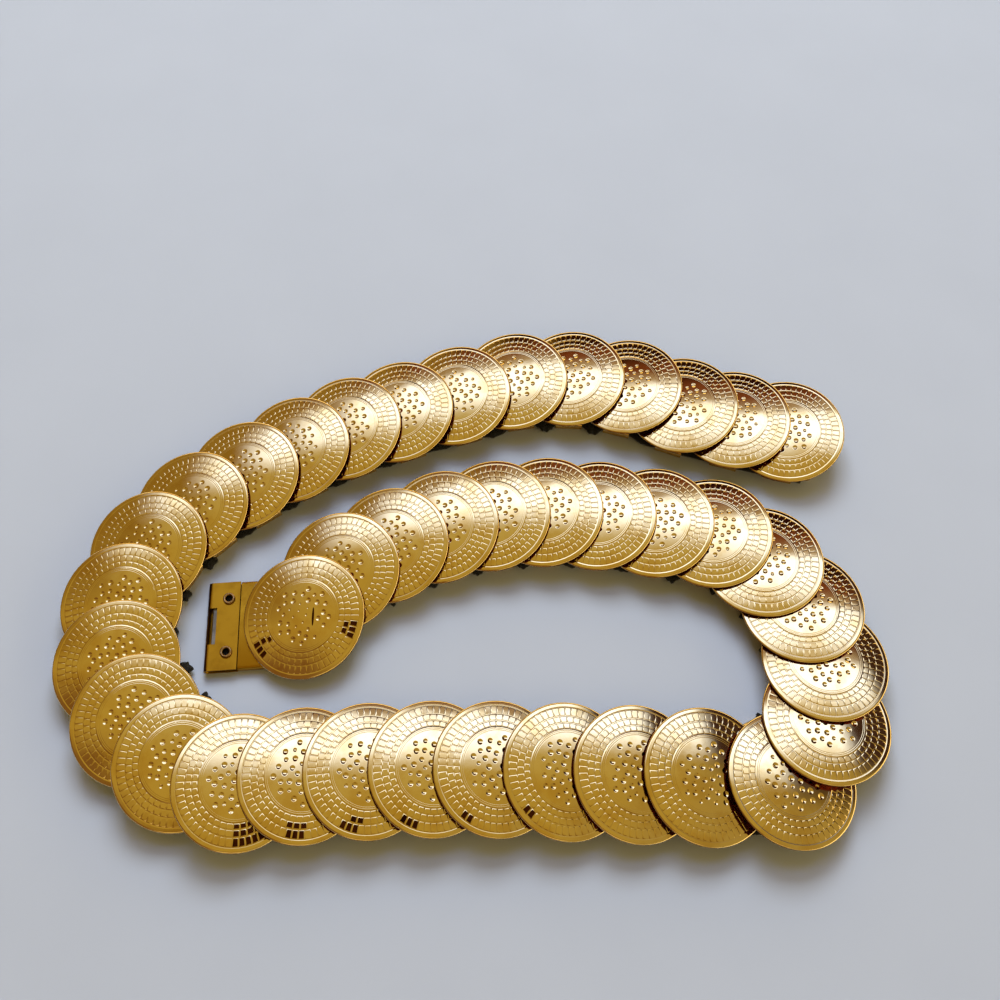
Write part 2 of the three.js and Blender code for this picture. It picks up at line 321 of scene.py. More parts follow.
@dataclass(frozen=True)
class ElasticWeave:
    """Black braided elastic: rubber cords covered with polyester thread.

    It gives the eye a nearly black cloth with fine ribs along its length, crossed by
    the weft, and a faint grey sheen where the light grazes it.
    """

    name: str = "elastic_black_woven"
    colour: str = "#0B0A09"
    thread: str = "#191714"
    rib: float = 0.9  # mm between cords
    weft: float = 0.7  # mm between weft threads
    weave_depth: float = 0.15  # mm
    roughness: float = 0.85
    sheen: float = 0.08

    def material(self) -> Material:
        """Build the material."""
        material, tree = new_material(self.name)
        across = add_node(tree, "ShaderNodeUVMap", {"uv_map": "along_belt"}).outputs["UV"]
        ribs, wefts = (
            add_node(
                tree,
                "ShaderNodeTexWave",
                {"wave_type": "BANDS", "bands_direction": axis, "wave_profile": "SIN"},
                {"Vector": across, "Scale": WAVE_STEP / (spacing * MM)},
            ).outputs["Fac"]
            for axis, spacing in (("X", self.rib), ("Y", self.weft))
        )
        weave = product(tree, ribs, wefts)
        surface = {
            "Base Color": blend(tree, weave, linear(self.colour), linear(self.thread)),
            "Roughness": self.roughness,
            "Sheen Weight": self.sheen,
            "Sheen Roughness": 0.5,
            "Normal": relief(tree, weave, 0.8, self.weave_depth),
        }
        close_tree(tree, surface)
        return material


@dataclass(frozen=True)
class PaleFloor:
    """Matt painted board.

    It gives the eye a plain, cool, off-white surface with the faintest grain.
    """

    name: str = "board_painted_pale"
    colour: str = "#BDC5D5"
    shade: str = "#B7BFCF"
    grain: float = 40.0  # mm, size of a patch
    roughness: float = 0.7

    def material(self) -> Material:
        """Build the material."""
        material, tree = new_material(self.name)
        place = add_node(tree, "ShaderNodeTexCoord").outputs["Object"]
        grain = noise(tree, place, self.grain, 5.0)
        colour = blend(tree, grain, linear(self.colour), linear(self.shade))
        close_tree(tree, {"Base Color": colour, "Roughness": self.roughness})
        return material


# ---- layout


@dataclass(frozen=True)
class Stretch:
    """Some discs in a row that lie alike, in degrees and millimetres.

    Each turns and steps on from the one before it; the slide and the lead say how far the
    sleeve sits to the side and ahead of the disc's middle, and the roll is about the belt's line.
    """

    name: str
    discs: int
    turn: float
    pitch: float
    slide: float
    lead: float
    roll: float = 0.0


@dataclass(frozen=True)
class Spot:
    """Where one disc lies, the heading of the belt, its sleeve's offsets and its roll."""

    place: Vector
    heading: float
    slide: float
    lead: float
    roll: float


def ahead(place: Vector, heading: float, along: float, left: float) -> Vector:
    """Give the point so far ahead of a place on a heading in radians, and so far to its left."""
    return place + Matrix.Rotation(heading, 2) @ Vector((along, left))


@dataclass
class BeltLayout:
    """The way that the belt lies, from its clasp end to its hook end.

    The first disc lies at the start; the middle shifts the whole belt to the frame's origin.
    """

    start: Vector = field(default_factory=lambda: Vector((-55.4, -13.8)))
    start_heading: float = 79.9
    start_lead: float = -8.0
    stretches: tuple[Stretch, ...] = (
        Stretch("clasp turn", 2, -25, 17.7, 0, 0),
        Stretch("inner run", 4, -8.5, 17.2, 0.5, 0),
        Stretch("inner crest", 2, -3.5, 18.6, 0.5, 0),
        Stretch("right bend", 4, -21.5, 17.7, 0, 0),
        Stretch("tight turn", 1, -30, 20.4, 3.6, 2.8),
        Stretch("sharp corner", 1, -55, 24.1, 0, 0),
        Stretch("front row", 2, 0, 20.1, 0, 0),
        Stretch("front row middle", 1, 0, 20.1, 0, 0, 2.6),
        Stretch("front row end", 4, 2, 18.6, 0, 0, 2.6),
        Stretch("left bend", 6, -22.5, 18.6, 1.2, 0),
        Stretch("left shoulder", 1, -14.5, 19.2, 1, 0),
        Stretch("back rise", 3, -5.5, 18.7, 0.5, 0),
        Stretch("back run", 2, -2, 20.6, 0.5, 0),
        Stretch("back crest", 3, -12.5, 20, 1, 0),
        Stretch("tail", 1, 3.5, 18, 0.5, 0),
        Stretch("tail end", 1, 3.5, 18, 0.5, 0, 2.2),
    )
    middle: Vector = field(default_factory=lambda: Vector((4.4423, -4.5316)))

    def spots(self) -> list[Spot]:
        """Lay out the discs one after another.

        Returns:
            A spot for every disc, first to last, in the frame's own place.
        """
        places = [self.start + self.middle]
        seats = [(0.0, self.start_lead, 0.0)]
        links: list[float] = []
        heading = math.radians(self.start_heading)
        for stretch in self.stretches:
            log.info("%s: %d discs from %d", stretch.name, stretch.discs, len(places) + 1)
            for _ in range(stretch.discs):
                heading += math.radians(stretch.turn)
                links.append(heading)
                places.append(ahead(places[-1], heading, stretch.pitch, 0))
                seats.append((stretch.slide, stretch.lead, math.radians(stretch.roll)))
        rows = zip(places, [links[0], *links], [*links, links[-1]], seats)
        return [Spot(place, (a + b) / 2, *seat) for place, a, b, seat in rows]


# ---- discs


@dataclass(frozen=True)
class BlockRing:
    """One ring of pressed blocks, in millimetres from the disc's middle."""

    inner: float
    outer: float
    count: int


@dataclass(frozen=True)
class WearAndPaintedShade:
    """Blocks painted dark: those within the spread of an angle and the two radii.

    On discs 17 to 22 the dark is a painted reflection of something dark beside the belt; discs 1
    and 27 have a few dark blocks too. The angle and the spread are in degrees in the belt's plane,
    the radii in millimetres.
    """

    angle: float
    spread: float
    inner: float
    outer: float


@dataclass(frozen=True)
class Sleeve:
    """Length and half width of a disc's flat tube, and its turn under the disc in radians."""

    length: float = 9.0
    half_width: float = 15.9
    swing: float = 0.0


@dataclass
class StampedDisc:
    """The pressed pattern that every disc shares, and the tube that holds it on the elastic.

    Heights of the pattern are measured from the middle of the plate, before it is domed.
    """

    radius: float = 19.0
    half_wall: float = 0.35
    dome_rise: float = 1.5
    tilt: float = math.radians(9.2)
    rear_gap: float = 0.39  # between the disc's rear rim and its sleeve
    under_radii: tuple[float, ...] = (0.0, 5.5, 11.0, 15.5)
    # distance in from the edge, and height
    rolled_edge: Profile = (
        (0.35, -0.35), (0.08, -0.24), (0.0, -0.05), (0.05, 0.13),
        (0.2, 0.25), (0.42, 0.3), (0.55, 0.3), (1.2, 0.3),
    )
    cut_edge: float = 0.14  # width of the dull cut edge, whose dark colour is also a painted dark outline
    sharp_angle: float = math.radians(62)
    step_turn: float = 2.4  # radians that the pattern turns from one disc to the next

    face_lift: float = 0.30  # height of the plain face
    groove_depth: float = 0.067
    groove_floor: float = 0.03  # half width of a groove's floor
    groove_wall: float = 0.09  # width of each half of a block's wall
    lower_wall: float = 0.45  # share of the depth that the lower half climbs
    bed_wall: float = 0.15  # width of each half of a wall of the blocks' bed
    shoulder: float = 0.03
    block_tip: float = 0.0012  # unevenness of the blocks' corners
    block_seed: int = 11
    ring_slack: float = 0.1  # how far a cell may lie off the middle of its ring
    least_cell: float = 1.0  # square mm, smallest face that is a cell of a ring
    least_top: float = 0.5  # square mm, smallest face that is the top of a block
    line_width: float = 0.22
    line_depth: float = 0.035
    line_lip: float = 0.05
    fine_rings: tuple[float, float] = (10.72, 10.24)
    outer_ring: BlockRing = BlockRing(15.0, 17.45, 57)
    middle_ring: BlockRing = BlockRing(13.05, 14.9, 45)
    inner_ring: BlockRing = BlockRing(11.35, 12.95, 41)

    field_radius: float = 9.9
    field_sides: int = 56
    dimples: int = 38
    dimple_field: float = 8.75
    dimple_sizes: tuple[float, ...] = (0.86, 0.74, 0.82, 0.6, 0.84, 0.7, 0.78)
    # radius over the dimple's size, and depth over its full depth
    dimple_profile: Profile = (
        (1.16, 0.0), (1.05, 0.0), (0.9, 0.16), (0.62, 0.64), (0.32, 0.93), (0.0, 1.0),
    )
    dimple_depth: float = 0.185
    dimple_sides: int = 12
    dimple_jitter: float = 0.14
    dimple_seed: int = 5
    dimple_start: float = 0.6  # where the first lies on their spiral, in dimples
    dimple_room: float = 1.2  # how far a dimple reaches, over its size
    flat_middle: float = 4.6  # radius of the end disc's flatter middle
    flat_scale: tuple[float, float] = (0.45, 0.4)  # of a dimple's size and depth in it
    slit_place: Vector = field(default_factory=lambda: Vector((3.35, -0.5)))
    slit_size: tuple[float, float] = (0.72, 5.8)
    slit_depth: float = 0.3
    slit_wall: float = 0.06
    slit_sides: int = 10
    slit_room: tuple[float, float] = (0.3, 1.0)  # kept free of dimples
    recess_start: float = 0.012  # depth from which a place counts as a recess

    sleeve: Sleeve = Sleeve()
    sleeve_round: float = 0.9
    rib_length: float = 1.7
    rib_width: float = 14.0
    rib_round: float = 0.2
    # dark blocks by disc: a painted reflection on discs 17 to 22
    wear_and_painted_shade: dict[int, tuple[WearAndPaintedShade, ...]] = field(
        default_factory=lambda: {
            1: (WearAndPaintedShade(-146, 6, 11, 17.4), WearAndPaintedShade(-136, 4, 15, 17.4), WearAndPaintedShade(-15, 9, 13, 17.4)),
            17: (WearAndPaintedShade(-137, 6.5, 15, 17.4),),
            18: (WearAndPaintedShade(-126, 6.5, 15, 17.4),),
            19: (WearAndPaintedShade(-114, 9.5, 15, 17.4),),
            20: (WearAndPaintedShade(-105, 9.5, 15, 17.4), WearAndPaintedShade(-102, 8, 13, 15)),
            21: (WearAndPaintedShade(-94, 9.5, 15, 17.4), WearAndPaintedShade(-94, 12, 13, 15)),
            22: (WearAndPaintedShade(-66, 25, 11, 17.4),),
            27: (WearAndPaintedShade(-152, 4, 15, 17.4),),
        }
    )

    @property
    def rim_plane(self) -> float:
        """Height of the disc's rim plane over the surface that the belt lies on."""
        drop = self.radius * math.sin(self.tilt) + self.half_wall
        return SLEEVE_HEIGHT + self.rear_gap + drop

    def dome_at(self, radius: float) -> float:
        """Height of the dome over the rim plane at a distance from the middle."""
        return self.dome_rise * (1 - (radius / self.radius) ** 2)

    def _line(self, radius: float) -> list[tuple[float, float]]:
        """Give the profile of one fine engraved ring, from its outer side to its inner side."""
        half, face = self.line_width / 2, self.face_lift
        return [
            (radius + half + self.line_lip, face),
            (radius + half, face),
            (radius, face - self.line_depth),
            (radius - half, face),
            (radius - half - self.line_lip, face),
        ]

    def _wall(self, radius: float, side: int) -> list[tuple[float, float]]:
        """Give the profile of one wall of the bed of the blocks, from the face down to the bed.

        Args:
            radius: Where the wall meets the bed.
            side: 1 for the outer wall and -1 for the inner one.

        Returns:
            Radius and height of each point.
        """
        face, wall = self.face_lift, self.bed_wall
        low, rise = face - self.groove_depth, self.lower_wall * self.groove_depth
        return [
            (radius + side * (2 * wall + self.shoulder), face),
            (radius + side * 2 * wall, face),
            (radius + side * wall, low + rise),
            (radius, low),
        ]

    def _bands(self, bm: BMesh) -> None:
        """Spin the bands that carry the blocks and the fine rings, and bridge them."""
        face = self.face_lift
        low = face - self.groove_depth
        a, b, c = self.outer_ring, self.middle_ring, self.inner_ring
        under = [(radius, -self.half_wall) for radius in self.under_radii]
        edge = [(self.radius - inset, height) for inset, height in self.rolled_edge]
        spin_profile(bm, [*under, *edge, *self._wall(a.outer, 1), (a.inner, low)], a.count)
        spin_profile(bm, [(b.outer, low), (b.inner, low)], b.count)
        spin_profile(bm, [(c.outer, low), *reversed(self._wall(c.inner, -1))], c.count)
        lines = [point for radius in self.fine_rings for point in self._line(radius)]
        spin_profile(bm, [*lines, (self.field_radius, face)], self.field_sides)
        bmesh.ops.remove_doubles(bm, verts=bm.verts, dist=WELD)
        gaps = ((a.inner, b.outer), (b.inner, c.outer), (c.inner, self.fine_rings[0]))
        for outer, inner in gaps:
            loops = [
                e
                for e in bm.edges
                if e.is_boundary and inner - NEAR < e.verts[0].co.xy.length < outer + NEAR
            ]
            bmesh.ops.bridge_loops(bm, edges=loops)

    def _raise_blocks(self, bm: BMesh) -> None:
        """Raise a soft-edged block from the groove floor on every cell of the three rings."""
        cells = []
        for ring in (self.outer_ring, self.middle_ring, self.inner_ring):
            middle = (ring.inner + ring.outer) / 2
            for cell in bm.faces:
                centre = cell.calc_center_median()
                off = abs(centre.xy.length - middle)
                on_ring = centre.z > 0 and off < self.ring_slack
                if on_ring and cell.calc_area() > self.least_cell:
                    cells.append(cell)
        for thickness, rise in (
            (self.groove_floor, 0.0),
            (self.groove_wall, self.lower_wall),
            (self.groove_wall, 1 - self.lower_wall),
            (self.shoulder, 0.0),
        ):
            depth = rise * self.groove_depth
            bmesh.ops.inset_individual(
                bm, faces=cells, thickness=thickness, depth=depth, use_even_offset=True
            )
        chance = random.Random(self.block_seed)
        for cell in cells:
            for vert in cell.verts:
                vert.co.z += chance.uniform(-self.block_tip, self.block_tip)

    def _press_dimples(self, bm: BMesh, slit: bool) -> None:
        """Press small round dimples into the middle field and fill the field round them.

        Args:
            bm: Mesh whose middle field is still open.
            slit: Whether the field is flatter and has a narrow slit, as on the end disc.
        """
        chance = random.Random(self.dimple_seed)
        golden = math.pi * (3 - math.sqrt(5))
        shrink, flatten = self.flat_scale
        for i in range(self.dimples):
            size = self.dimple_sizes[i % len(self.dimple_sizes)]
            sink = self.dimple_depth * size / max(self.dimple_sizes)
            reach = self.dimple_field * math.sqrt((i + self.dimple_start) / self.dimples)
            if slit and reach < self.flat_middle:
                size, sink = shrink * size, flatten * sink
            shake = Vector([chance.uniform(-1, 1) * self.dimple_jitter for _ in range(2)])
            spot = Matrix.Rotation(i * golden, 2) @ Vector((reach, 0)) + shake
            off = spot - self.slit_place
            beside = abs(off.x) < self.dimple_room * size + self.slit_room[0]
            if slit and beside and abs(off.y) < self.slit_size[1] / 2 + self.slit_room[1]:
                continue
            profile = [
                (wide * size, self.face_lift - deep * sink) for wide, deep in self.dimple_profile
            ]
            faces = spin_profile(bm, profile, self.dimple_sides)
            verts = list({vert for made in faces for vert in made.verts})
            bmesh.ops.translate(bm, vec=spot.to_3d(), verts=verts)
        if slit:
            self._cut_slit(bm)
        bmesh.ops.remove_doubles(bm, verts=bm.verts, dist=WELD)
        open_edges = [e for e in bm.edges if e.is_boundary]
        bmesh.ops.triangle_fill(bm, edges=open_edges, use_beauty=True, normal=UP)

    def _cut_slit(self, bm: BMesh) -> None:
        """Press the end disc's narrow slit, while the middle field round it is still open."""
        shape = Matrix.Diagonal((self.slit_size[0] / 2, self.slit_size[1] / 2, 1, 1))
        home = Matrix.Translation((*self.slit_place, self.face_lift)) @ shape
        made = bmesh.ops.create_circle(
            bm, cap_ends=True, radius=1.0, segments=self.slit_sides, matrix=home
        )
        # the slit's floor takes the dark finish: painted shade inside the slit
        floor = made["verts"][0].link_faces[0]
        floor.material_index = Part.WORN_AND_PAINTED_SHADE.value
        wall, deep = self.slit_wall, self.slit_depth
        bmesh.ops.inset_individual(bm, faces=[floor], thickness=wall, depth=-deep)

    def _mark_recesses(self, bm: BMesh) -> None:
        """Mark the points of the face that lie deep, for the browner colour there, before it is
        domed.
        """
        recess = bm.verts.layers.float.new("recess")
        top = self.face_lift - self.recess_start
        for vert in bm.verts:
            reach = vert.co.xy.length
            if 0 < vert.co.z < top and reach < self.radius - 1:
                vert[recess] = 1.0 if reach > self.field_radius else 0.5

    def pattern(self, slit: bool = False) -> Mesh:
        """Press one disc, level, with its rim plane at zero height.

        Args:
            slit: Whether it is the end disc, with a flatter middle and a slit.

        Returns:
            The disc, with its underside and its edge in finishes of their own.
        """
        bm = bmesh.new()
        self._bands(bm)
        self._press_dimples(bm, slit)
        bmesh.ops.recalc_face_normals(bm, faces=bm.faces)
        self._raise_blocks(bm)
        self._mark_recesses(bm)
        for face in bm.faces:
            middle = face.calc_center_median()
            # the underside's dull finish has a red tone that is painted bounce light, seen in the
            # gaps under raised rims
            if middle.z < -NEAR:
                face.material_index = Part.UNDERSIDE.value
            # the outer edge takes the dull edge finish, which also paints the dark outline of the
            # disc
            elif middle.xy.length > self.radius - self.cut_edge:
                face.material_index = Part.EDGE.value
        for vert in bm.verts:
            vert.co.z += self.dome_at(vert.co.xy.length)
        return store(bm, "pressed_disc", smooth=False)

    def _fold_sleeve(self, bm: BMesh, spot: Spot, sleeve: Sleeve) -> None:
        """Fold the flat tube that the elastic runs through, and the rib over it.

        Args:
            bm: Mesh of the disc, already tilted and lifted.
            spot: The disc's spot, for the sleeve's offsets.
            sleeve: Sizes of the tube.
        """
        along = spot.lead + (self.sleeve.length - sleeve.length) / 2
        tube = bmesh.new()
        size = (sleeve.length, 2 * sleeve.half_width, SLEEVE_HEIGHT)
        box(tube, size, (along, -spot.slide, SLEEVE_HEIGHT / 2))
        ends = [face for face in tube.faces if abs(face.normal.x) > 0.9]
        bmesh.ops.delete(tube, geom=ends, context="FACES_ONLY")
        folds = [e for e in tube.edges if abs((e.verts[0].co - e.verts[1].co).x) > 1]
        round_edges(tube, folds, self.sleeve_round, 3, False)
        bmesh.ops.recalc_face_normals(tube, faces=tube.faces)
        bmesh.ops.solidify(tube, geom=tube.faces[:], thickness=SHEET)
        swing = Matrix.Rotation(sleeve.swing, 3, "Z")
        bmesh.ops.rotate(tube, cent=(0, 0, 0), matrix=swing, verts=tube.verts)

        rib_middle = spot.lead + (self.rib_length - self.sleeve.length) / 2
        reach = math.hypot(rib_middle, self.rib_width / 2)
        top = self.rim_plane + rib_middle * math.sin(self.tilt) + self.dome_at(reach)
        foot = SLEEVE_HEIGHT - SHEET / 2
        others = set(tube.verts)
        size = (self.rib_length, self.rib_width, top - foot)
        rib = box(tube, size, (rib_middle, 0, (top + foot) / 2))
        edges = list({edge for vert in rib for edge in vert.link_edges})
        round_edges(tube, edges, self.rib_round, 2, False)
        for vert in tube.verts:
            if vert not in others and vert.co.z > SLEEVE_HEIGHT:
                vert.co.z += vert.co.y * math.tan(spot.roll)
        for face in tube.faces:
            face.material_index = Part.SLEEVE.value
        shell = store(tube, "sleeve", smooth=False)
        bm.from_mesh(shell)
        bpy.data.meshes.remove(shell)

    def _blacken(self, bm: BMesh, number: int, turn: float) -> None:
        """Give a disc's listed blocks their dark finish, a painted reflection on discs 17 to 22.

        Args:
            bm: Mesh of the disc, still level and in its own place.
            number: The disc's number along the belt.
            turn: Turn of the pattern in the belt's plane, in radians.
        """
        # listed dark blocks, a painted reflection on discs 17 to 22
        worn_and_painted_shade = self.wear_and_painted_shade.get(number, ())
        for block_top in bm.faces if worn_and_painted_shade else ():
            place = block_top.calc_center_median()
            if place.z <= self.face_lift or block_top.calc_area() <= self.least_top:
                continue
            radius = place.xy.length
            angle = math.degrees(math.atan2(place.y, place.x) + turn)
            for wear_and_painted_shade in worn_and_painted_shade:
                near = abs((angle - wear_and_painted_shade.angle + 180) % 360 - 180) < wear_and_painted_shade.spread
                if near and wear_and_painted_shade.inner < radius < wear_and_painted_shade.outer:
                    block_top.material_index = Part.WORN_AND_PAINTED_SHADE.value

    def piece(self, number: int, pressed: Mesh, spot: Spot, sleeve: Sleeve, turn: float) -> Mesh:
        """Make one disc with its sleeve where it lies.

        Args:
            number: The disc's number along the belt.
            pressed: The pressed disc, level.
            spot: Where it lies.
            sleeve: Sizes of its sleeve.
            turn: Turn of the pressed pattern about the disc's own middle, in radians.

        Returns:
            The mesh, in metres, in the frame's own place.
        """
        bm = bmesh.new()
        bm.from_mesh(pressed)
        self._blacken(bm, number, turn + spot.heading)
        lean = (
            Matrix.Translation((0, 0, self.rim_plane))
            @ Matrix.Rotation(-self.tilt, 4, "Y")
            @ Matrix.Rotation(spot.roll, 4, "X")
            @ Matrix.Rotation(turn, 4, "Z")
        )
        bmesh.ops.transform(bm, matrix=lean, verts=bm.verts)
        self._fold_sleeve(bm, spot, sleeve)
        home = Matrix.Translation((*spot.place, 0)) @ Matrix.Rotation(spot.heading, 4, "Z")
        bmesh.ops.transform(bm, matrix=Matrix.Scale(MM, 4) @ home, verts=bm.verts)
        mesh = store(bm, f"stamped_disc_{number:02d}")
        mesh.set_sharp_from_angle(angle=self.sharp_angle)
        return mesh


# ---- elastic


@dataclass(frozen=True)
class Gate:
    """The two edges of the elastic where it enters or leaves a sleeve."""

    left: Vector
    right: Vector
    heading: float


@dataclass
class ElasticBand:
    """Wide woven elastic that runs through every sleeve and gathers in the bends."""

    half_width: float = 15.0
    thickness: float = 1.2
    height: float = 1.5  # of its middle
    clasp_half_width: float = 12.95
    clasp_start: float = 4.3  # from the clasp's fold to the elastic's end
    hook_end: float = 7.6  # from the last disc's middle to the other end
    flat_width: float = 30.0
    flat_length: float = 750.0
    across: int = 20  # faces across the width
    gap_rows: int = 16  # rows of faces from one sleeve to the next in a bend
    pucker_share: float = 0.8  # share of the spare length that stands out
    pucker_limit: float = 2.4
    gather_power: int = 5  # how closely the gather keeps to the edge
    loop_spread: float = 1.0
    ruffle: float = 0.55  # how far the edge waves up and down
    crumple: float = 0.16
    # how far the gathered edge stands out, after the discs where it shows
    loops: dict[int, float] = field(
        default_factory=lambda: {23: 3.6, 24: 4.4, 25: 1.6, 26: 2.6, 27: 3.0, 28: 1.2}
    )

    def gates(
        self, clasp: Vector, heading: float, spots: list[Spot], first: Sleeve, rest: Sleeve
    ) -> list[Gate]:
        """List the gates from the clasp to the hook.

        Args:
            clasp: Fold of the clasp plate.
            heading: Heading of the clasp, in radians.
            spots: Where the discs lie.
            first: Sizes of the first sleeve.
            rest: Sizes of the other sleeves.

        Returns:
            The gates in order.
        """
        found: list[Gate] = []

        def gate(place: Vector, heading: float, along: float, left: float, half: float) -> None:
            """Add one gate."""
            edges = (ahead(place, heading, along, left + end) for end in (half, -half))
            found.append(Gate(*edges, heading))

        half = self.clasp_half_width
        front = spots[0].lead + rest.length / 2
        gate(clasp, heading, self.clasp_start, 0, half)
        gate(spots[0].place, heading, front - first.length, 0, half)
        gate(spots[0].place, heading, front + SEAM, 0, half)
        reach = rest.length / 2 + SEAM
        for spot in spots[1:]:
            end = self.hook_end if spot is spots[-1] else spot.lead + reach
            for along in (spot.lead - reach, end):
                gate(spot.place, spot.heading, along, -spot.slide, self.half_width)
        return found

    def _rows(self, gates: list[Gate]) -> list[tuple[Vector, Vector, Vector, float, int]]:
        """Work out the two edges of the cloth, row by row.

        Args:
            gates: Where it enters and leaves the sleeves.

        Returns:
            Left edge, right edge, how far the gathered edge is pushed out, how much it is
            ruffled up or down, and the side that is gathered.
        """
        rows = [(gates[0].left, gates[0].right, Vector((0, 0)), 0.0, 1)]
        for i, (a, b) in enumerate(zip(gates, gates[1:])):
            bend = b.heading - a.heading
            gap = i % 2 == 0 and i > 0
            steps = self.gap_rows if gap and abs(bend) > 1e-6 else 2
            side = -1 if bend < 0 else 1
            heading = (a.heading + b.heading) / 2
            near_gap = (a.right - b.right if side < 0 else a.left - b.left).length
            spare = ((a.left + a.right - b.left - b.right) / 2).length - near_gap
            push = self.loops.get(i // 2, min(self.pucker_limit, self.pucker_share * spare))
            wide = self.loop_spread if i // 2 in self.loops else 0.0
            for step in range(1, steps + 1):
                share = step / steps
                left, right = a.left.lerp(b.left, share), a.right.lerp(b.right, share)
                out, wave = Vector((0, 0)), 0.0
                if steps > 2:
                    swell = math.sin(math.pi * share)
                    along = wide * math.sin(2 * math.pi * share)
                    fold = 1 + self.crumple * math.sin(2 * math.pi * share * (2 + i % 3) + i)
                    out = ahead(out, heading, -along, side * push * fold * swell)
                    wave = math.sin(2 * math.pi * share) * swell
                rows.append((left, right, out, wave, side))
        return rows

    def piece(self, gates: list[Gate]) -> Mesh:
        """Lay the elastic as one cloth.

        Args:
            gates: Where it enters and leaves the sleeves.

        Returns:
            The middle surface of the cloth, in metres.
        """
        rows = self._rows(gates)
        bm = bmesh.new()
        bmesh.ops.create_grid(bm, x_segments=self.across, y_segments=len(rows) - 1, size=0.5)
        uv = bm.loops.layers.uv.new("along_belt")
        grid = {}
        for vert in bm.verts:
            column = round((vert.co.x + 0.5) * self.across)
            row = round((vert.co.y + 0.5) * (len(rows) - 1))
            grid[vert] = (column / self.across, row)
        for vert, (share, row) in grid.items():
            left, right, out, wave, side = rows[row]
            inside = share if side > 0 else 1 - share
            flat = right.lerp(left, share) + out * inside**self.gather_power
            lift = self.ruffle * wave * inside**2
            vert.co = (flat.x * MM, flat.y * MM, (self.height + lift) * MM)
        for face in bm.faces:
            for loop in face.loops:
                share, row = grid[loop.vert]
                along = row / (len(rows) - 1) * self.flat_length
                loop[uv].uv = (share * self.flat_width * MM, along * MM)
        return store(bm, "woven_elastic")


# ---- clasp and hook


@dataclass
class Clasp:
    """Folded end plate with its spring bar and two eyelets, and the hook at the other end."""

    heading: float = math.radians(4)
    reach: float = 31.0  # from the first disc's middle to the fold
    length: float = 10.2
    half_width: float = 13.85
    rivet_along: float = 6.8  # from the fold
    rivet_across: float = 8.4  # from the middle line
    sheet_round: float = 0.12
    bar_round: float = 0.4
    hard_angle: float = math.radians(40)
    rounded: tuple[float, float] = (0.05, 0.99)  # how upright the normal of a rounding is
    fold_share: float = 0.35  # how far a face turns to the fold's side to take the dark finish, a painted dark reflection on the rounded fold
    seat: float = SLEEVE_HEIGHT + SEAM
    eyelet_foot: float = 0.3
    # radius, and height over the seat
    eyelet_roll: Profile = (
        (1.3, -0.15), (1.36, 0.0), (1.76, 0.03), (1.86, 0.16), (1.8, 0.36),
        (1.6, 0.5), (1.38, 0.52), (1.16, 0.44), (1.03, 0.2), (1.0, -0.3),
    )
    eyelet_sides: int = 36

    def end_sleeve(self, first: Spot, usual: Sleeve) -> Sleeve:
        """Give the first disc's sleeve, which runs on to the front end of a usual one."""
        length = self.reach - self.length - SEAM + first.lead + usual.length / 2
        return Sleeve(length, self.half_width, self.heading - first.heading)

    def fold(self, first: Spot) -> Vector:
        """Give the place of the plate's fold."""
        return ahead(first.place, self.heading, -self.reach, 0)

    def dressed(self, node: str, name: str, width: float) -> Mesh:
        """Round the edges of a folded or cut sheet part.

        Args:
            node: CAD node with the part's shape.
            name: Name of the new mesh.
            width: Width of the rounding in millimetres.

        Returns:
            The dressed mesh.
        """
        bm = bmesh.new()
        bm.from_mesh(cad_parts[node].data)
        bmesh.ops.remove_doubles(bm, verts=bm.verts, dist=1e-6)
        level = math.radians(1)
        bmesh.ops.dissolve_limit(bm, angle_limit=level, verts=bm.verts, edges=bm.edges)
        hard = [e for e in bm.edges if e.is_manifold and e.calc_face_angle(0) > self.hard_angle]
        round_edges(bm, hard, width * MM, 2, True)
        bmesh.ops.triangulate(bm, faces=[f for f in bm.faces if len(f.verts) > 4])
        bm.normal_update()
        mesh = store(bm, name, smooth=False)
        fold_side = -Vector((math.cos(self.heading), math.sin(self.heading), 0))
        for plane in mesh.polygons:
            plane.use_smooth = self.rounded[0] < abs(plane.normal.z) < self.rounded[1]
            # faces turned towards the fold take the dark finish, a painted dark reflection on the
            # rounded fold
            plane.material_index = int(plane.normal.dot(fold_side) > self.fold_share)
        return mesh

    def eyelet(self, name: str, place: Vector) -> Mesh:
        """Roll one tubular eyelet.

        Args:
            name: Name of the mesh.
            place: Its middle in the belt's plane.

        Returns:
            The eyelet's mesh, in metres.
        """
        bm = bmesh.new()
        roll = [(radius, self.seat + height) for radius, height in self.eyelet_roll]
        outside, inside = ((roll[k][0], self.eyelet_foot) for k in (0, -1))
        spin_profile(bm, [outside, *roll, inside, outside], self.eyelet_sides)
        home = Matrix.Scale(MM, 4) @ Matrix.Translation((*place, 0))
        bmesh.ops.remove_doubles(bm, verts=bm.verts, dist=WELD)
        bmesh.ops.transform(bm, matrix=home, verts=bm.verts)
        bmesh.ops.recalc_face_normals(bm, faces=bm.faces)
        return store(bm, name)

    def rivet_places(self, first: Spot) -> list[Vector]:
        """Give the middles of the two eyelets."""
        fold, across = self.fold(first), self.rivet_across
        return [ahead(fold, self.heading, self.rivet_along, left) for left in (across, -across)]


# ---- studio


@dataclass(frozen=True)
class Patch:
    """One soft patch of the sky: its light and what bounds it.

    A bound says at which lean from straight up, in degrees, the patch starts and where it is
    full. The back is the lean towards +Y and the side is the lean towards +X.
    """

    light: tuple[float, float, float]
    back: tuple[float, float] | None = None
    side: tuple[float, float] | None = None


